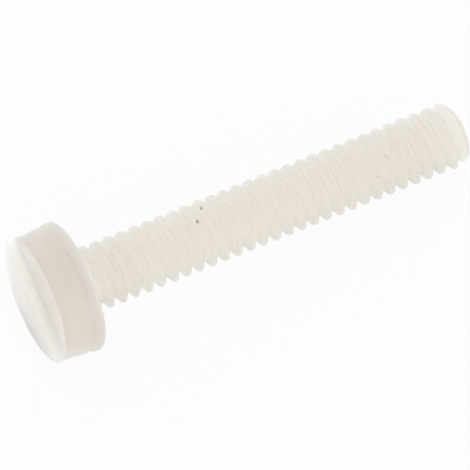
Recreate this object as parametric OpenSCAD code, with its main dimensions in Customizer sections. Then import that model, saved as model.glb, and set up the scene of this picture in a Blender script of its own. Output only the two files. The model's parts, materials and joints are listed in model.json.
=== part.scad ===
// Slotted cheese head machine screw, M2 x 12, moulded in one piece in natural nylon.
// Millimetres and degrees. The screw lies at rest on z = 0, on the rim of its head and
// on a thread crest near its tip, with the head towards -X and the tip towards +X.

/* [Head] */
// Diameter of the head over the raised band next to its bearing face
head_d = 3.8; // [3.2:0.05:4.6]
// Height of the head
head_h = 1.25; // [0.9:0.05:1.6]
// Height of the band, with the slope that leads up to it
band_h = 0.28; // [0.1:0.01:0.5]
// Length of the slope that leads up to the band
band_slope = 0.08; // [0.02:0.01:0.15]
// How far the band stands proud of the head's side
band_proud = 0.04; // [0.01:0.01:0.1]
// Rounding of the head's two rims
rim_round = 0.06; // [0.02:0.01:0.15]

/* [Slot] */
// Width of the screwdriver slot
slot_w = 0.8; // [0.4:0.05:1]
// Depth of the screwdriver slot
slot_depth = 0.6; // [0.4:0.05:0.75]
// Draft of each slot wall
slot_draft = 1.5; // [0:0.5:5]
// Rounding of the slot's lips and of its floor's corners
slot_round = 0.04; // [0.01:0.01:0.1]
// Turn of the slot about the screw's axis, from the side that the screw lies on
slot_turn = 114.5; // [0:0.5:180]

/* [Neck] */
// Length of the plain neck under the head
neck_len = 0.3; // [0.2:0.05:0.8]
// How far the neck stands proud of the thread's crests
neck_proud = 0.01; // [0.005:0.005:0.05]
// Fillet between the neck and the head's bearing face
neck_fillet = 0.1; // [0.05:0.01:0.2]

/* [Thread] */
// Diameter over the thread's crests
thread_d = 1.89; // [1.6:0.01:2.3]
// Pitch of the thread
pitch = 0.4; // [0.33:0.01:0.48]
// Included angle between the thread's flanks
flank_angle = 60; // [50:1:72]
// Width of the rounded crest
crest_w = 0.07; // [0.04:0.01:0.1]
// Width of the flat root
root_w = 0.08; // [0.04:0.01:0.1]
// How far the crest's edges drop below its middle
crest_drop = 0.015; // [0.005:0.005:0.03]
// Turn of the thread about the screw's axis
thread_turn = -14; // [-180:1:180]

/* [Shank] */
// Length from the bearing face to the tip
shank_len = 12; // [6:0.5:16]
// Radial depth of the chamfer at the tip
tip_chamfer = 0.19; // [0.1:0.01:0.25]
// Angle between the tip's chamfer and the axis
chamfer_angle = 40; // [30:1:55]

/* [Hidden] */

nylon = [0.93, 0.91, 0.87];

head_r = head_d / 2;
side_r = head_r - band_proud;

thread_r = thread_d / 2;
neck_r = thread_r + neck_proud;
// The crest, the flanks and the root fill one pitch, which gives the thread's depth.
flank_run = (pitch - crest_w - root_w) / 2;
root_r = thread_r - crest_drop - flank_run / tan(flank_angle / 2);

// Distances along the axis are measured from the slotted face.
tip_z = head_h + shank_len;
tip_r = thread_r - tip_chamfer;
chamfer_len = tip_chamfer / tan(chamfer_angle);
// The threaded shank starts inside the head, midway between the slot's floor and the bearing face.
shank_z = (slot_depth + head_h) / 2;

// One pitch of the thread as [distance from the crest's middle, radius], towards the tip
thread_form = [
    [-flank_run - crest_w / 2, root_r],
    [-crest_w / 2, thread_r - crest_drop],
    [0, thread_r],
    [crest_w / 2, thread_r - crest_drop],
    [flank_run + crest_w / 2, root_r],
];
form_points = len(thread_form);
// Columns of points round the thread, the first on the side that the screw lies on
columns = 32;
// Turns of thread, with two spare ones at each end, which the ends cut off
spare_turns = 2;
turns = ceil((tip_z - shank_z) / pitch) + 2 * spare_turns;
column_points = turns * form_points;
// Steps in a rounded corner of the head or the slot
arc_steps = 4;
// Segments of the drawn circles
round_fn = 96;

// Distance from the bearing face to a crest on the side that the screw lies on
crest_lead = -pitch * thread_turn / 360;
// The first crest past the shank's start on that side
first_crest = ceil((shank_z - head_h - crest_lead) / pitch);
first_crest_z = head_h + crest_lead + first_crest * pitch;

// The screw rests on the head's rim and on the last whole crest above the tip's chamfer.
last_crest = floor((shank_len - chamfer_len - crest_lead) / pitch);
rest_crest_z = head_h + crest_lead + last_crest * pitch;
rest_rim_z = head_h - rim_round;
rest_tilt = atan((head_r - thread_r) / (rest_crest_z - rest_rim_z));
rest_lift = max([for (p = head_outline()) p.x * cos(rest_tilt) + p.y * sin(rest_tilt)]);
// The origin lies under the middle of the screw's length.
rest_left = -(side_r - rim_round) * sin(rest_tilt);
rest_right = tip_z * cos(rest_tilt) + tip_r * sin(rest_tilt);
rest_x = -(rest_left + rest_right) / 2;

// Points of an arc about a centre, from one angle to another
function arc(centre, radius, from, to) = [
    for (i = [0 : arc_steps])
        let (a = from + (to - from) * i / arc_steps)
        [centre.x + radius * cos(a), centre.y + radius * sin(a)]
];

// Half section of the head and its neck as [radius, distance along the axis]
function head_outline() = concat(
    [[0, 0]],
    arc([side_r - rim_round, rim_round], rim_round, -90, 0),
    [[side_r, head_h - band_h], [head_r, head_h - band_h + band_slope]],
    arc([head_r - rim_round, head_h - rim_round], rim_round, 0, 90),
    arc([neck_r + neck_fillet, head_h + neck_fillet], neck_fillet, 270, 180),
    [[neck_r, head_h + neck_len], [0, head_h + neck_len]]
);

// Half width of the slot at a depth below its lips
function slot_half(depth) = slot_w / 2 - depth * tan(slot_draft);

// The slot's section as [across, depth], down one side from above the face and up the other
function slot_outline() =
    let (
        side = [
            [slot_half(-slot_round) + slot_round, -slot_round],
            [slot_half(0) + slot_round, 0],
            [slot_half(slot_round), slot_round],
            [slot_half(slot_depth - slot_round), slot_depth - slot_round],
            [slot_half(slot_depth) - slot_round, slot_depth],
        ]
    )
    concat(side, [for (i = [len(side) - 1 : -1 : 0]) [-side[i].x, side[i].y]]);

// A point of the threaded surface: a column round the axis and a step along it.
// What lies past the shank's start or its tip is drawn in to the edge of that end.
function thread_point(column, step) =
    let (
        side = 360 * column / columns,
        form = thread_form[step % form_points],
        turn = floor(step / form_points) - spare_turns + side / 360,
        z = first_crest_z + turn * pitch + form.x,
        chamfer_r = tip_r + (tip_z - z) * tan(chamfer_angle),
        r = z <= shank_z ? root_r : z >= tip_z ? tip_r : min(form.y, chamfer_r)
    )
    [r * cos(side), r * sin(side), min(max(z, shank_z), tip_z)];

// Index of a surface point; past the last column the first one follows, a turn further on
function point_index(column, step) =
    column < columns
        ? column * column_points + step
        : step + form_points;

// Two triangles between neighbouring columns and steps, without those that have no area
function thread_cell(points, column, step) =
    let (
        a = point_index(column, step),
        b = point_index(column + 1, step),
        c = point_index(column + 1, step + 1),
        d = point_index(column, step + 1)
    )
    [
        for (t = [[a, d, b], [b, d, c]])
            if (points[t[0]] != points[t[1]] && points[t[1]] != points[t[2]] && points[t[2]] != points[t[0]]) t
    ];

// Head and neck, turned about the axis, with the slot across the face
module head() {
    difference() {
        rotate_extrude($fn = round_fn) polygon(head_outline());
        rotate(slot_turn)
            translate([-head_d, 0, 0])
                rotate([90, 0, 90])
                    linear_extrude(2 * head_d) polygon(slot_outline());
    }
}

// Threaded shank: one closed surface that winds from the head to the chamfered tip
module threaded_shank() {
    points = [
        for (column = [0 : columns - 1], step = [0 : column_points - 1]) thread_point(column, step)
    ];
    last_step = column_points - form_points - 2;
    skin = [
        for (column = [0 : columns - 1], step = [0 : last_step])
            each thread_cell(points, column, step)
    ];
    start_cap = [for (column = [0 : columns - 1]) point_index(column, 0)];
    tip_cap = [for (column = [columns - 1 : -1 : 0]) point_index(column, column_points - 1)];
    polyhedron(points = points, faces = concat(skin, [start_cap, tip_cap]), convexity = 10);
}

// Lays the upright screw down as it comes to rest
module lie_down() {
    translate([rest_x, 0, rest_lift]) rotate([0, 90 + rest_tilt, 0]) children();
}

module screw() {
    color(nylon)
        lie_down() {
            head();
            threaded_shank();
        }
}

screw();
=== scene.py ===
"""Slotted cheese head screw in natural nylon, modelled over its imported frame, with its studio."""
import json
import math
from collections import namedtuple
from contextlib import contextmanager
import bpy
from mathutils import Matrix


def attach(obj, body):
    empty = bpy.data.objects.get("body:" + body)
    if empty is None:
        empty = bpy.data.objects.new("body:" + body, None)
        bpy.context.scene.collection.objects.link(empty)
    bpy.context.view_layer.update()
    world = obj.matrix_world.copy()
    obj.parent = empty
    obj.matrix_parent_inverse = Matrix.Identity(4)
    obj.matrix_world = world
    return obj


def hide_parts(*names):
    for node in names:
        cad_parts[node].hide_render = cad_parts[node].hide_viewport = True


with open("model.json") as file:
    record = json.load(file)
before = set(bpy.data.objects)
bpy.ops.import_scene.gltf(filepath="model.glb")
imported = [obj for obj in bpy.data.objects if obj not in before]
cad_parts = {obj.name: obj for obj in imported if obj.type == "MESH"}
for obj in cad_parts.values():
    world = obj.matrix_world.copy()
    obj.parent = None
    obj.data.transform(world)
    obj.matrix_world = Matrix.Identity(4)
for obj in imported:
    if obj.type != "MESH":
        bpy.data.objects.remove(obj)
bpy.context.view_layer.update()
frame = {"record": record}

from types import SimpleNamespace

import bmesh
import bpy
from bpy.props import FloatProperty, FloatVectorProperty, IntProperty, PointerProperty
from bpy.types import Operator, Panel, PropertyGroup
from mathutils import Euler, Vector

bl_info = {
    "name": "Nylon Cheese Head Screw",
    "version": (1, 0, 0),
    "blender": (4, 5, 0),
    "location": "View3D > Sidebar > Screw",
    "description": "Models a slotted cheese head screw in natural nylon, in a white studio",
    "category": "Add Mesh",
}

MM = 0.001
# The screw is modelled with a millimetre as one unit, because merging and bevelling have
# thresholds of their own that are too coarse for a part this small. It is brought to size last.
UNITS_PER_METRE = 1 / MM

# The frame gives where the screw lies: its bearing face and the way from there to its tip.
MOUNTS = {mount["name"]: mount for mount in frame["record"]["mounts"]}
BEARING_CENTRE = Vector(MOUNTS["bearing_face"]["pos_m"])
TIPWARDS = Vector(MOUNTS["bearing_face"]["axis"]).normalized()
# Turns the upright screw, face down and tip up, onto its side
LYING = Euler((0, math.acos(TIPWARDS.z), 0))

# In millimetres: a corner within NEAR of a place counts as on it, points within MERGE of each
# other become one, and a point within ON_CUT of a cut counts as on it
NEAR = 0.002
MERGE = 1e-4
ON_CUT = 1e-5

# A Mix node of colours takes them at these inputs and gives them at this output
UNDER = 6
OVER = 7
MIXED = 2

WHITE = (1, 1, 1)

# A dark speck in the skin: millimetres from the face and from the axis, degrees about the
# axis, how far it reaches in millimetres, and its colour
Speck = namedtuple("Speck", "depth radius turn reach colour")
SPECKS = (
    Speck(5.33, 0.82, 150.8, 0.04, (0.1, 0.1, 0.09)),
    Speck(4.98, 0.86, -179.2, 0.055, (0.4, 0.28, 0.2)),
    Speck(10.32, 0.94, -131.5, 0.05, (0.64, 0.57, 0.46)),
    Speck(10.77, 0.86, -160.6, 0.07, (0.68, 0.58, 0.48)),
)


def length(name, description, millimetres, **limits):
    """A length that the panel shows in the scene's units"""
    return FloatProperty(
        name=name,
        description=description,
        default=millimetres * MM,
        precision=6,
        subtype="DISTANCE",
        unit="LENGTH",
        **limits,
    )


def angle(name, description, degrees, **limits):
    """An angle that the panel shows in degrees"""
    return FloatProperty(
        name=name,
        description=description,
        default=math.radians(degrees),
        subtype="ANGLE",
        unit="ROTATION",
        **limits,
    )


def tint(name, description, value):
    """A colour in Blender's linear values"""
    return FloatVectorProperty(
        name=name,
        description=description,
        default=value,
        size=3,
        min=0,
        max=1,
        subtype="COLOR",
    )


def amount(name, description, value, low=0.0, high=1.0):
    """A plain number between two limits"""
    return FloatProperty(name=name, description=description, default=value, min=low, max=high)


class HeadSizes(PropertyGroup):
    """Sizes of the head, its slot and the neck under it"""

    diameter: length("Band Diameter", "Across the raised band next to the bearing face", 3.799)
    body_diameter: length("Head Diameter", "Across the head between its face and the band", 3.71)
    height: length("Height", "From the slotted face to the bearing face", 1.25)
    band_height: length("Band Height", "From the foot of its slope to the bearing face", 0.28)
    band_slope: length("Band Slope", "Length of the slope that leads up to the band", 0.08)
    rim_round: length("Rim Rounding", "Rounding of the head's two rims", 0.06)
    slot_width: length("Slot Width", "Between the lips of the screwdriver slot", 0.8)
    slot_depth: length("Slot Depth", "From the face to the floor of the slot", 0.6)
    slot_draft: angle("Slot Draft", "Lean of each wall of the slot", 1.5)
    slot_round: length("Slot Rounding", "Rounding of the slot's lips and floor corners", 0.04)
    slot_turn: angle("Slot Turn", "Turn of the slot from the side that the screw lies on", 114.5)
    neck_length: length("Neck Length", "Length of the plain neck under the head", 0.3)
    neck_diameter: length("Neck Diameter", "Across the plain neck", 1.91)
    neck_fillet: length("Neck Fillet", "Fillet between the neck and the bearing face", 0.1)


class ThreadSizes(PropertyGroup):
    """Sizes of the threaded shank and its tip"""

    diameter: length("Diameter", "Over the thread's crests", 1.889)
    pitch: length("Pitch", "From one crest to the next", 0.4)
    flank_angle: angle("Flank Angle", "Included angle between the flanks", 60)
    crest_width: length("Crest Width", "Width of the crest before it is rounded", 0.07)
    root_width: length("Root Width", "Width of the root before it is rounded", 0.08)
    crest_round: length("Crest Rounding", "Reach of the rounding at each side of the crest", 0.034)
    root_round: length("Root Rounding", "Reach of the rounding at each side of the root", 0.036)
    turn: angle("Thread Turn", "Turn of the thread about the screw's axis", -14)
    shank_length: length("Shank Length", "From the bearing face to the tip", 12)
    tip_chamfer: length("Tip Chamfer", "Radial depth of the chamfer at the tip", 0.19)
    chamfer_angle: angle("Chamfer Angle", "Angle between the tip's chamfer and the axis", 40)
    tip_round: length("Tip Rounding", "Rounding of the chamfer's edges", 0.03)


class MeshDetail(PropertyGroup):
    """How finely the screw is divided"""

    round_sides: IntProperty(
        name="Round Sides", description="Sides of the head and the neck", default=144, min=24
    )
    thread_sides: IntProperty(
        name="Thread Sides", description="Steps in one turn of the thread", default=72, min=24
    )
    round_steps: IntProperty(
        name="Rounding Steps", description="Steps in each rounded edge", default=4, min=1
    )
    smooth_angle: angle("Smooth Angle", "Edges that turn more than this stay crisp", 40)


class NylonLook(PropertyGroup):
    """Colours and finish of the milky nylon, with painted light and shade that differ by region"""

    # Painted shade: the crest colour is darker than the root colour, to offset the glow of the thin
    # crests
    shank: tint("Shank", "Colour at the roots of the thread", (0.865, 0.805, 0.725))
    crest: tint("Crest", "Colour at the thin crests of the thread", (0.75, 0.685, 0.592))
    # Painted light: the neck is paler, to offset the shade that the head casts on it
    neck: tint("Neck", "Colour next to the head, which keeps some light off it", (0.9, 0.835, 0.75))
    # Painted shade: the tip is darker, to offset the light that reaches it from its end
    tip: tint("Tip", "Colour of the tip, which light reaches from its end too", (0.66, 0.605, 0.53))
    # Painted shade: the head's side is darker than the shank, darker still next to its face and
    # towards its band
    head: tint("Head", "Colour of the thick head's side", (0.61, 0.555, 0.5))
    head_edge: tint("Head Edge", "Colour of the head's side next to its face", (0.53, 0.47, 0.42))
    band: tint("Band", "Colour of the head's side towards its band", (0.48, 0.43, 0.385))
    # Painted shade: the face is darker above the slot than below it
    face: tint("Face", "Colour of the face below the slot", (0.83, 0.77, 0.695))
    face_above: tint("Face Above", "Colour of the face above the slot", (0.64, 0.59, 0.53))
    # Painted light: the face is paler and cooler towards its rim, to offset the shade there
    face_rim: tint("Face Rim", "Colour of the face towards its rim", (0.9, 0.9, 0.92))
    # Painted light on the slot's walls near their lips
    slot_wall: tint("Slot Wall", "Colour of the slot's walls near their lips", (1.0, 0.87, 0.745))
    slot_shade: tint("Slot Shade", "Colour of the shade in and above the slot", (0.57, 0.55, 0.52))
    shade_width: length("Shade Width", "Width of the shade on the face above the slot", 0.56)
    cloud_size: length("Cloud Size", "Size of the milky clouds in the nylon", 0.9)
    cloud: amount("Cloud", "How much the clouds change the colour", 0.06)
    glow_depth: length("Glow Depth", "How far light travels through the nylon", 3)
    refraction: amount("Refraction", "Refractive index of nylon", 1.53, low=1, high=2)
    roughness: amount("Roughness", "Roughness of the moulded skin", 0.38)
    roughness_spread: amount("Roughness Spread", "How far the grain changes the roughness", 0.06)
    gloss: amount("Gloss", "Strength of the gloss on the moulded skin", 0.2)
    sheen: amount("Sheen", "Strength of the cool sheen where the skin turns away", 0.12)
    sheen_tint: tint("Sheen Tint", "Colour of that sheen", (0.15, 0.58, 0.92))
    sheen_roughness: amount("Sheen Roughness", "How far the sheen spreads from the edges", 0.3)
    grain_size: length("Grain Size", "Size of the moulded skin's grain", 0.05)
    grain_height: length("Grain Height", "Height of the grain's relief", 0.0025)
    grain: amount("Grain", "Strength of the grain's relief", 0.08)


class StudioLook(PropertyGroup):
    """Camera, floor and light"""

    camera_turn: angle("Camera Turn", "Where the camera stands, from the X axis round to Y", -117.1)
    camera_rise: angle("Camera Rise", "Height of the camera above the horizon", 60.97)
    camera_distance: length("Camera Distance", "From the camera to the head", 300)
    view_width: length("View Width", "Width of the picture at the head's distance", 13.02)
    aim_right: length("Aim Right", "From the bearing face right to the picture's middle", 4.426)
    aim_up: length("Aim Up", "From the bearing face up to the picture's middle", 1.396)
    floor_size: length("Floor Size", "Length of the floor's sides", 900)
    floor: tint("Floor", "Colour of the floor", (0.96, 0.965, 0.96))
    backdrop: tint("Backdrop", "Plain white that the camera sees", (0.985, 1.0, 0.993))
    floor_glow: amount("Floor Glow", "Share of plain white in the floor that the camera sees", 0.92)
    horizon: amount("Horizon", "Strength of the light from the sides", 1.5, high=3)
    zenith: amount("Zenith", "Strength of the light from above", 0.55, high=3)
    key_power: FloatProperty(
        name="Key Power", description="Power of the lamp overhead", default=0.2, min=0, unit="POWER"
    )
    key_size: length("Key Size", "Length of the lamp's sides", 500)
    key_along: length("Key Along", "Place of the lamp along the X axis", -50)
    key_across: length("Key Across", "Place of the lamp along the Y axis", -100)
    key_height: length("Key Height", "Height of the lamp", 600)


def settings_of(group):
    """The names of the group's own sizes and colours"""
    return [name for name in group.bl_rna.properties.keys() if name not in ("name", "rna_type")]


def in_units(group):
    """The group's values as plain names, with its lengths in the units of the modelling"""
    values = {}
    for name in settings_of(group):
        value = getattr(group, name)
        unit = getattr(group.bl_rna.properties[name], "unit", "")
        values[name] = value * UNITS_PER_METRE if unit == "LENGTH" else value
    return SimpleNamespace(**values)


def activate(piece):
    """Makes the piece the only one selected"""
    bpy.ops.object.select_all(action="DESELECT")
    piece.select_set(True)
    bpy.context.view_layer.objects.active = piece


@contextmanager
def editing(piece, parts="VERT"):
    """Edit mode on one piece, with nothing selected"""
    activate(piece)
    bpy.ops.object.mode_set(mode="EDIT")
    bpy.ops.mesh.select_mode(type=parts)
    bpy.ops.mesh.select_all(action="DESELECT")
    yield
    bpy.ops.object.mode_set(mode="OBJECT")


def pick(piece, parts, wanted):
    """Selects the vertices, edges or faces of which every corner is wanted"""
    mesh = bmesh.from_edit_mesh(piece.data)
    for group in (mesh.faces, mesh.edges, mesh.verts):
        for part in group:
            part.select_set(False)
    for part in getattr(mesh, parts):
        corners = [part] if parts == "verts" else part.verts
        if all(wanted(corner.co) for corner in corners):
            part.select_set(True)
    bmesh.update_edit_mesh(piece.data)


def on_circle(radius, z):
    """A test of whether a point lies on a circle about the axis"""
    return lambda point: abs(point.xy.length - radius) < NEAR and abs(point.z - z) < NEAR


def at_height(z):
    """A test of whether a point lies at a height"""
    return lambda point: abs(point.z - z) < NEAR


def beside(z, offset):
    """A test of whether a point lies an offset above or below a height"""
    return lambda point: abs(abs(point.z - z) - offset) < NEAR


def extrude(move):
    """Extrudes what is selected by a move"""
    bpy.ops.mesh.extrude_region_move(TRANSFORM_OT_translate={"value": move})


def widen(along_x, along_y):
    """Scales what is selected about the axis"""
    bpy.ops.transform.resize(value=(along_x, along_y, 1), center_override=(0, 0, 0))


def boolean(piece, other, operation):
    """Cuts the piece with another one, or joins them, and removes the other"""
    activate(piece)
    cut = piece.modifiers.new(operation.title(), "BOOLEAN")
    cut.operation = operation
    cut.solver = "EXACT"
    cut.object = other
    bpy.ops.object.modifier_apply(modifier=cut.name)
    bpy.data.objects.remove(other)


def model_head(head, detail):
    """Head with its band and neck, face down on the ground and its axis on Z"""
    radius = head.body_diameter / 2
    band_radius = head.diameter / 2
    neck_radius = head.neck_diameter / 2
    band_z = head.height - head.band_height
    slope = head.band_slope
    bpy.ops.object.select_all(action="DESELECT")
    bpy.ops.mesh.primitive_cylinder_add(
        vertices=detail.round_sides, radius=radius, depth=band_z, location=(0, 0, band_z / 2)
    )
    piece = bpy.context.object
    bpy.ops.object.transform_apply(location=True)
    with editing(piece, "FACE"):
        pick(piece, "faces", at_height(band_z))
        extrude((0, 0, slope))
        widen(band_radius / radius, band_radius / radius)
        extrude((0, 0, head.height - band_z - slope))
        extrude((0, 0, 0))
        widen(neck_radius / band_radius, neck_radius / band_radius)
        extrude((0, 0, head.neck_length))
        bpy.ops.mesh.select_mode(type="EDGE")
        for circle, reach in (
            ((radius, 0), head.rim_round),
            ((radius, band_z), slope / 2),
            ((band_radius, band_z + slope), slope / 2),
            ((band_radius, head.height), head.rim_round),
            ((neck_radius, head.height), head.neck_fillet),
        ):
            pick(piece, "edges", on_circle(*circle))
            bpy.ops.mesh.bevel(offset=reach, segments=detail.round_steps, affect="EDGES")
    return piece


def model_slot(head, detail):
    """The slot's space, with leaning walls, rounded floor corners and lips that flare out"""
    lip = head.slot_round
    half = head.slot_width / 2
    lean = math.tan(head.slot_draft)
    half_at_lip = half - lip * lean
    half_at_floor = half - head.slot_depth * lean
    steps = detail.round_steps
    bpy.ops.object.select_all(action="DESELECT")
    bpy.ops.mesh.primitive_cube_add(size=1, location=(0, 0, (lip + head.slot_depth) / 2))
    piece = bpy.context.object
    piece.scale = (2 * head.diameter, 2 * half_at_lip, head.slot_depth - lip)
    bpy.ops.object.transform_apply(location=True, scale=True)
    with editing(piece, "FACE"):
        pick(piece, "faces", at_height(head.slot_depth))
        widen(1, half_at_floor / half_at_lip)
        pick(piece, "faces", at_height(lip))
        width = half_at_lip
        for step in range(steps):
            turned = math.radians(90) * (step + 1) / steps
            before = math.radians(90) * step / steps
            drop = lip * (math.sin(turned) - math.sin(before))
            wider = width + lip * (math.cos(before) - math.cos(turned))
            extrude((0, 0, -drop))
            widen(1, wider / width)
            width = wider
        extrude((0, 0, -lip))
        bpy.ops.mesh.select_mode(type="EDGE")
        pick(piece, "edges", at_height(head.slot_depth))
        bpy.ops.mesh.bevel(offset=lip, segments=steps, affect="EDGES")
    piece.rotation_euler.z = head.slot_turn
    bpy.ops.object.transform_apply(rotation=True)
    return piece


def model_thread(thread, head, detail):
    """Thread from inside the head to the tip, wound from one pitch of its profile"""
    crest_radius = thread.diameter / 2
    run = (thread.pitch - thread.crest_width - thread.root_width) / 2
    drop = run / math.tan(thread.flank_angle / 2)
    half_root = thread.root_width / 2
    start_z = (head.slot_depth + head.height) / 2
    tip_z = head.height + thread.shank_length
    lead = -thread.pitch * thread.turn / math.tau
    spare_turns = 2
    first_turn = math.floor((start_z - head.height - lead) / thread.pitch) - spare_turns
    profile_z = head.height + lead + (first_turn - 0.5) * thread.pitch
    turns = math.ceil((tip_z - profile_z) / thread.pitch) + spare_turns
    bpy.ops.object.select_all(action="DESELECT")
    bpy.ops.mesh.primitive_plane_add(size=1)
    piece = bpy.context.object
    with editing(piece):
        bpy.ops.mesh.select_all(action="SELECT")
        bpy.ops.mesh.merge(type="CENTER")
        bpy.ops.transform.translate(value=(crest_radius - drop, 0, profile_z))
        for step in (
            (0, 0, half_root),
            (drop, 0, run),
            (0, 0, thread.crest_width),
            (-drop, 0, run),
            (0, 0, half_root),
        ):
            extrude(step)
        crest_z = profile_z + thread.pitch / 2
        for reach, off_crest in (
            (thread.crest_round, thread.crest_width / 2),
            (thread.root_round, thread.crest_width / 2 + run),
        ):
            pick(piece, "verts", beside(crest_z, off_crest))
            bpy.ops.mesh.bevel(offset=reach, segments=detail.round_steps, affect="VERTICES")
    winding = piece.modifiers.new("Winding", "SCREW")
    winding.axis = "Z"
    winding.angle = math.tau
    winding.screw_offset = thread.pitch
    winding.iterations = turns
    winding.steps = detail.thread_sides
    winding.render_steps = detail.thread_sides
    winding.use_merge_vertices = True
    winding.merge_threshold = MERGE
    bpy.ops.object.modifier_apply(modifier=winding.name)
    with editing(piece):
        for z, keep_above in ((start_z, True), (tip_z, False)):
            bpy.ops.mesh.select_all(action="SELECT")
            bpy.ops.mesh.bisect(
                plane_co=(0, 0, z),
                plane_no=(0, 0, 1),
                use_fill=True,
                clear_inner=keep_above,
                clear_outer=not keep_above,
                threshold=ON_CUT,
            )
        bpy.ops.mesh.select_all(action="SELECT")
        bpy.ops.mesh.remove_doubles(threshold=MERGE)
        bpy.ops.mesh.normals_make_consistent(inside=False)
    return piece


def model_tip_mould(thread, head, detail):
    """The space that the tip's chamfer leaves: a round bar with a chamfered, rounded end"""
    clear = 0.1
    radius = thread.diameter / 2 + clear
    tip_radius = thread.diameter / 2 - thread.tip_chamfer
    taper = (radius - tip_radius) / math.tan(thread.chamfer_angle)
    tip_z = head.height + thread.shank_length
    straight = tip_z - taper
    bpy.ops.object.select_all(action="DESELECT")
    bpy.ops.mesh.primitive_cylinder_add(
        vertices=detail.round_sides, radius=radius, depth=straight, location=(0, 0, straight / 2)
    )
    piece = bpy.context.object
    bpy.ops.object.transform_apply(location=True)
    with editing(piece, "FACE"):
        pick(piece, "faces", at_height(straight))
        extrude((0, 0, taper))
        widen(tip_radius / radius, tip_radius / radius)
        bpy.ops.mesh.select_mode(type="EDGE")
        pick(piece, "edges", on_circle(tip_radius, tip_z))
        bpy.ops.mesh.bevel(offset=thread.tip_round, segments=detail.round_steps, affect="EDGES")
    return piece


def lay_down(piece, head):
    """Brings the upright screw to size and lays it where the frame has it, at rest on its side"""
    activate(piece)
    piece.scale = (MM, MM, MM)
    piece.rotation_euler = LYING
    piece.location = BEARING_CENTRE - TIPWARDS * head.height * MM
    bpy.ops.object.transform_apply(location=True, rotation=True, scale=True)


def feed(tree, node, values):
    """Links a node's inputs to the values that are another node's output, and sets the others"""
    for key, value in values.items():
        if isinstance(value, bpy.types.NodeSocket):
            tree.links.new(value, node.inputs[key])
        else:
            node.inputs[key].default_value = value


def add_node(tree, kind, values, **settings):
    """Adds a node with its settings and the values of its inputs"""
    node = tree.nodes.new("ShaderNode" + kind)
    for name, setting in settings.items():
        setattr(node, name, setting)
    feed(tree, node, values)
    return node


def mask(tree, value, none_at, all_at):
    """A soft mask that rises from nothing at one value to all at the other"""
    values = {"Value": value, "From Min": none_at, "From Max": all_at}
    return add_node(tree, "MapRange", values, interpolation_type="SMOOTHSTEP").outputs["Result"]


def both(tree, one, other):
    """Where two masks meet"""
    return add_node(tree, "Math", {0: one, 1: other}, operation="MULTIPLY").outputs[0]


def blend(tree, share, under, over):
    """One colour laid over another by a mask; each is a node's output or a plain colour"""
    values = {0: share}
    for key, colour in ((UNDER, under), (OVER, over)):
        values[key] = colour if isinstance(colour, bpy.types.NodeSocket) else (*colour, 1)
    return add_node(tree, "Mix", values, data_type="RGBA").outputs[MIXED]


def upright_place(tree, head):
    """Place in the nylon as on the upright screw, in millimetres from the middle of its face"""
    place = add_node(tree, "TexCoord", {}).outputs["Object"]
    values = {
        "Vector": place,
        "Location": BEARING_CENTRE - TIPWARDS * head.height * MM,
        "Rotation": LYING,
    }
    upright = add_node(tree, "Mapping", values, vector_type="TEXTURE").outputs["Vector"]
    values = {"Vector": upright, "Scale": UNITS_PER_METRE}
    return add_node(tree, "VectorMath", values, operation="SCALE").outputs["Vector"]


def measures(tree, head, place):
    """Depth below the face, distance from the axis and height above the slot, in millimetres"""
    depth = add_node(tree, "SeparateXYZ", {0: place}).outputs["Z"]
    flat = add_node(tree, "VectorMath", {0: place, 1: (1, 1, 0)}, operation="MULTIPLY").outputs[0]
    radius = add_node(tree, "VectorMath", {0: flat}, operation="LENGTH").outputs["Value"]
    way = (-math.sin(head.slot_turn), math.cos(head.slot_turn), 0)
    above = add_node(tree, "VectorMath", {0: place, 1: way}, operation="DOT_PRODUCT")
    return SimpleNamespace(depth=depth, radius=radius, above=above.outputs["Value"])


def shank_colour(tree, look, head, thread, at):
    """Painted shade at the crests and the tip, which glow as they are thin, and painted light next
    to the head, which keeps some light off the neck
    """
    crest = thread.diameter / 2
    flank_foot = 0.76 * crest
    # Painted shade at the crests
    skin = blend(tree, mask(tree, at.radius, flank_foot, crest), look.shank, look.crest)

    neck_end = head.height + head.neck_length / 2
    past_neck = head.height + 4 * head.neck_length
    # Painted light on the neck, next to the head
    skin = blend(tree, mask(tree, at.depth, past_neck, neck_end), skin, look.neck)

    tip_z = head.height + thread.shank_length
    before_tip = tip_z - 2.5 * thread.tip_chamfer
    on_chamfer = tip_z - 0.5 * thread.tip_chamfer
    # Painted shade on the tip
    return blend(tree, mask(tree, at.depth, before_tip, on_chamfer), skin, look.tip)


def side_colour(tree, look, head, at):
    """The head's side in painted shade, deeper towards its face and deepest towards its band"""
    edge_fades = 0.3 * head.height
    band_starts = 0.6 * head.height
    # Painted shade next to the face
    skin = blend(tree, mask(tree, at.depth, edge_fades, 0), look.head, look.head_edge)
    # Painted shade towards the band
    return blend(tree, mask(tree, at.depth, band_starts, head.height), skin, look.band)


def face_colour(tree, look, head, at):
    """The face with painted light and shade: darker above the slot, paler towards its rim below it,
    and a band of painted shade above the slot where its hidden wall would show through
    """
    lip = head.slot_width / 2
    radius = head.diameter / 2
    rim_starts = 0.78 * radius
    rim_full = 0.98 * radius
    # Painted light towards the rim, on the half of the face below the slot
    rim_painted_light = both(
        tree,
        mask(tree, at.radius, rim_starts, rim_full),
        mask(tree, at.above, lip, 0),
    )
    shade_starts = lip - 0.02
    shade_full = lip + 0.12
    shade_fades = lip + 0.7 * look.shade_width
    shade_ends = lip + 1.3 * look.shade_width
    # Painted shade in a band on the face above the slot, where the slot's hidden wall would show
    # through
    wall_painted_shade = both(
        tree,
        mask(tree, at.above, shade_starts, shade_full),
        mask(tree, at.above, shade_ends, shade_fades),
    )
    # Painted shade on the face's half above the slot
    skin = blend(tree, mask(tree, at.above, 0, lip), look.face, look.face_above)
    skin = blend(tree, rim_painted_light, skin, look.face_rim)
    return blend(tree, wall_painted_shade, skin, look.slot_shade)


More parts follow.
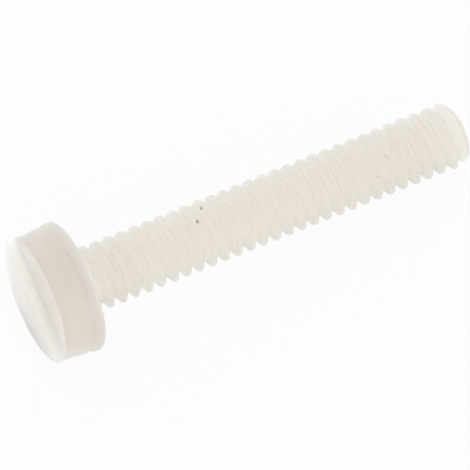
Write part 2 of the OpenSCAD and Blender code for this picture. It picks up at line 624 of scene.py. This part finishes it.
def slot_colour(tree, look, head, at):
    """The slot, with painted light near its lips and painted shade towards its floor"""
    shade_starts = 0.4 * head.slot_depth
    # Painted shade towards the slot's floor
    deep = mask(tree, at.depth, shade_starts, head.slot_depth)
    return blend(tree, deep, look.slot_wall, look.slot_shade)


def nylon_colour(tree, look, head, thread, place):
    """Colour of the nylon by region, with painted light and shade for how thick it is: the shank,
    the head's side, its face and its slot
    """
    at = measures(tree, head, place)
    edge = 0.01
    in_head = mask(tree, at.depth, head.height + edge, head.height - edge)
    face_starts = 0.7 * head.rim_round
    face_full = 0.05 * head.rim_round
    on_face = mask(tree, at.depth, face_starts, face_full)

    lip = head.slot_width / 2
    wall_edge = 0.02
    below_floor = 0.1
    off_slot = add_node(tree, "Math", {0: at.above}, operation="ABSOLUTE").outputs[0]
    over_floor = mask(tree, at.depth, head.slot_depth + below_floor, head.slot_depth + wall_edge)
    in_depth = both(tree, mask(tree, at.depth, 0, head.slot_round), over_floor)
    in_slot = both(tree, in_depth, mask(tree, off_slot, lip + wall_edge, lip))

    skin = shank_colour(tree, look, head, thread, at)
    skin = blend(tree, in_head, skin, side_colour(tree, look, head, at))
    skin = blend(tree, on_face, skin, face_colour(tree, look, head, at))
    return blend(tree, in_slot, skin, slot_colour(tree, look, head, at))


def specked(tree, skin, place):
    """The skin's colour with the few dark specks that the moulding has in it"""
    inner_share = 0.6
    outer_share = 1.4
    for speck in SPECKS:
        turn = math.radians(speck.turn)
        middle = (speck.radius * math.cos(turn), speck.radius * math.sin(turn), speck.depth)
        values = {0: place, 1: middle}
        away = add_node(tree, "VectorMath", values, operation="DISTANCE").outputs["Value"]
        covered = mask(tree, away, outer_share * speck.reach, inner_share * speck.reach)
        skin = blend(tree, covered, skin, speck.colour)
    return skin


def nylon(look, head, thread):
    """Milky natural nylon: light soaks into it, so thin parts are paler than thick ones, and its
    colour adds painted light and shade by region
    """
    material = bpy.data.materials.new("milky_nylon")
    material.use_nodes = True
    tree = material.node_tree
    shader = tree.nodes["Principled BSDF"]
    place = upright_place(tree, head)

    skin = specked(tree, nylon_colour(tree, look, head, thread, place), place)
    values = {"Vector": place, "Scale": 1 / look.cloud_size, "Detail": 2.0}
    clouds = add_node(tree, "TexNoise", values).outputs[0]
    share = add_node(tree, "Math", {0: clouds, 1: look.cloud}, operation="MULTIPLY").outputs[0]

    values = {"Vector": place, "Scale": 1 / look.grain_size, "Detail": 3.0}
    grain = add_node(tree, "TexNoise", values).outputs[0]
    low = look.roughness - look.roughness_spread
    high = look.roughness + look.roughness_spread
    roughness = add_node(tree, "MapRange", {"Value": grain, "To Min": low, "To Max": high})
    values = {"Height": grain, "Strength": look.grain, "Distance": look.grain_height * MM}
    relief = add_node(tree, "Bump", values)

    shader.subsurface_method = "RANDOM_WALK"
    feed(
        tree,
        shader,
        {
            "Base Color": blend(tree, share, skin, WHITE),
            "Roughness": roughness.outputs[0],
            "Normal": relief.outputs[0],
            "Subsurface Weight": 1,
            "Subsurface Radius": (1, 1, 1),
            "Subsurface Scale": look.glow_depth * MM,
            "IOR": look.refraction,
            "Specular IOR Level": look.gloss,
            "Sheen Weight": look.sheen,
            "Sheen Tint": (*look.sheen_tint, 1),
            "Sheen Roughness": look.sheen_roughness,
        },
    )
    return material


class SCREW_OT_model(Operator):
    """Models the screw: head, slot, neck, thread and chamfered tip as one solid"""

    bl_idname = "screw.model"
    bl_label = "Screw"

    def execute(self, context):
        scene = context.scene
        head = in_units(scene.screw_head)
        thread = in_units(scene.screw_thread)
        detail = in_units(scene.screw_detail)
        piece = model_head(head, detail)
        boolean(piece, model_slot(head, detail), "DIFFERENCE")
        shank = model_thread(thread, head, detail)
        boolean(shank, model_tip_mould(thread, head, detail), "INTERSECT")
        boolean(piece, shank, "UNION")
        piece.name = piece.data.name = "nylon_screw"
        lay_down(piece, head)
        bpy.ops.object.shade_smooth_by_angle(angle=detail.smooth_angle)
        piece.data.materials.append(nylon(in_units(scene.nylon_look), head, thread))
        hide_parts("screw")
        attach(piece, "root")
        return {"FINISHED"}


def add_camera(studio):
    """Camera at the photograph's angle, looking down on the screw from beside its head"""
    rise = studio.camera_rise
    turn = studio.camera_turn
    back = Vector(
        (math.cos(rise) * math.cos(turn), math.cos(rise) * math.sin(turn), math.sin(rise))
    )
    facing = back.to_track_quat("Z", "Y")
    aim = BEARING_CENTRE + facing @ Vector((studio.aim_right, studio.aim_up, 0))
    bpy.ops.object.camera_add(
        location=aim + back * studio.camera_distance, rotation=facing.to_euler()
    )
    camera = bpy.context.object
    camera.data.lens = camera.data.sensor_width * studio.camera_distance / studio.view_width
    camera.data.clip_start = 0.01
    camera.data.clip_end = 10
    bpy.context.scene.camera = camera


def add_lamp(name, place, size, power):
    """Square soft lamp that faces the screw"""
    bpy.ops.object.light_add(
        type="AREA", location=place, rotation=(-place).to_track_quat("-Z", "Y").to_euler()
    )
    lamp = bpy.context.object
    lamp.name = name
    lamp.data.shape = "SQUARE"
    lamp.data.size = size
    lamp.data.energy = power


def seen(tree):
    """Whether a ray shows what it meets: from the camera, off a gloss or through something clear"""
    path = add_node(tree, "LightPath", {})
    shows = path.outputs["Is Camera Ray"]
    for name in ("Is Glossy Ray", "Is Transmission Ray"):
        values = {0: shows, 1: path.outputs[name]}
        shows = add_node(tree, "Math", values, operation="ADD", use_clamp=True).outputs[0]
    return shows


def floor_material(studio):
    """Pale floor that takes the screw's shadow and is mostly plain white where it is seen"""
    material = bpy.data.materials.new("studio_floor")
    material.use_nodes = True
    tree = material.node_tree
    shader = tree.nodes["Principled BSDF"]
    values = {"Base Color": (*studio.floor, 1), "Roughness": 1, "Specular IOR Level": 0}
    feed(tree, shader, values)
    white = add_node(tree, "Emission", {"Color": (*studio.backdrop, 1)})
    share = add_node(tree, "Math", {0: seen(tree), 1: studio.floor_glow}, operation="MULTIPLY")
    values = {0: share.outputs[0], 1: shader.outputs[0], 2: white.outputs[0]}
    mix = add_node(tree, "MixShader", values)
    feed(tree, tree.nodes["Material Output"], {"Surface": mix.outputs[0]})
    return material


def sky(studio):
    """White all round: bright at the horizon as in a light tent, dimmer overhead"""
    world = bpy.data.worlds.new("studio_sky")
    world.use_nodes = True
    tree = world.node_tree
    way = add_node(tree, "TexCoord", {}).outputs["Generated"]
    rise = add_node(tree, "SeparateXYZ", {0: way}).outputs["Z"]
    values = {"Value": rise, "To Min": studio.horizon, "To Max": studio.zenith}
    strength = add_node(tree, "MapRange", values).outputs["Result"]
    tent = tree.nodes["Background"]
    feed(tree, tent, {"Color": (*WHITE, 1), "Strength": strength})
    backdrop = add_node(tree, "Background", {"Color": (*studio.backdrop, 1)})
    mix = add_node(tree, "MixShader", {0: seen(tree), 1: tent.outputs[0], 2: backdrop.outputs[0]})
    feed(tree, tree.nodes["World Output"], {"Surface": mix.outputs[0]})
    return world


class SCREW_OT_stage(Operator):
    """Sets up the white studio: floor, light from all round, lamp and camera"""

    bl_idname = "screw.stage"
    bl_label = "Studio"

    def execute(self, context):
        studio = context.scene.studio_look
        bpy.ops.object.select_all(action="DESELECT")
        bpy.ops.mesh.primitive_plane_add(size=studio.floor_size)
        floor = context.object
        floor.name = floor.data.name = "floor"
        floor.data.materials.append(floor_material(studio))
        context.scene.world = sky(studio)
        overhead = Vector((studio.key_along, studio.key_across, studio.key_height))
        add_lamp("key", overhead, studio.key_size, studio.key_power)
        add_camera(studio)
        context.scene.view_settings.view_transform = "Standard"
        return {"FINISHED"}


class SCREW_PT_panel(Panel):
    """Sizes, colours and light of the screw"""

    bl_label = "Cheese Head Screw"
    bl_idname = "SCREW_PT_panel"
    bl_space_type = "VIEW_3D"
    bl_region_type = "UI"
    bl_category = "Screw"

    def draw(self, context):
        layout = self.layout
        layout.use_property_split = True
        scene = context.scene
        for title, group in (
            ("Head", scene.screw_head),
            ("Thread", scene.screw_thread),
            ("Detail", scene.screw_detail),
            ("Nylon", scene.nylon_look),
            ("Studio", scene.studio_look),
        ):
            box = layout.box()
            box.label(text=title)
            for name in settings_of(group):
                box.prop(group, name)
        layout.operator(SCREW_OT_model.bl_idname)
        layout.operator(SCREW_OT_stage.bl_idname)


GROUPS = {
    "screw_head": HeadSizes,
    "screw_thread": ThreadSizes,
    "screw_detail": MeshDetail,
    "nylon_look": NylonLook,
    "studio_look": StudioLook,
}
CLASSES = (*GROUPS.values(), SCREW_OT_model, SCREW_OT_stage, SCREW_PT_panel)


def register():
    """Adds the classes, and the groups of sizes and colours to the scene"""
    for made in CLASSES:
        bpy.utils.register_class(made)
    for name, group in GROUPS.items():
        setattr(bpy.types.Scene, name, PointerProperty(type=group))


def unregister():
    """Takes the groups and the classes away again"""
    for name in GROUPS:
        delattr(bpy.types.Scene, name)
    for made in reversed(CLASSES):
        bpy.utils.unregister_class(made)


def main():
    """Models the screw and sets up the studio"""
    register()
    bpy.ops.screw.model()
    bpy.ops.screw.stage()


if __name__ == "__main__":
    main()
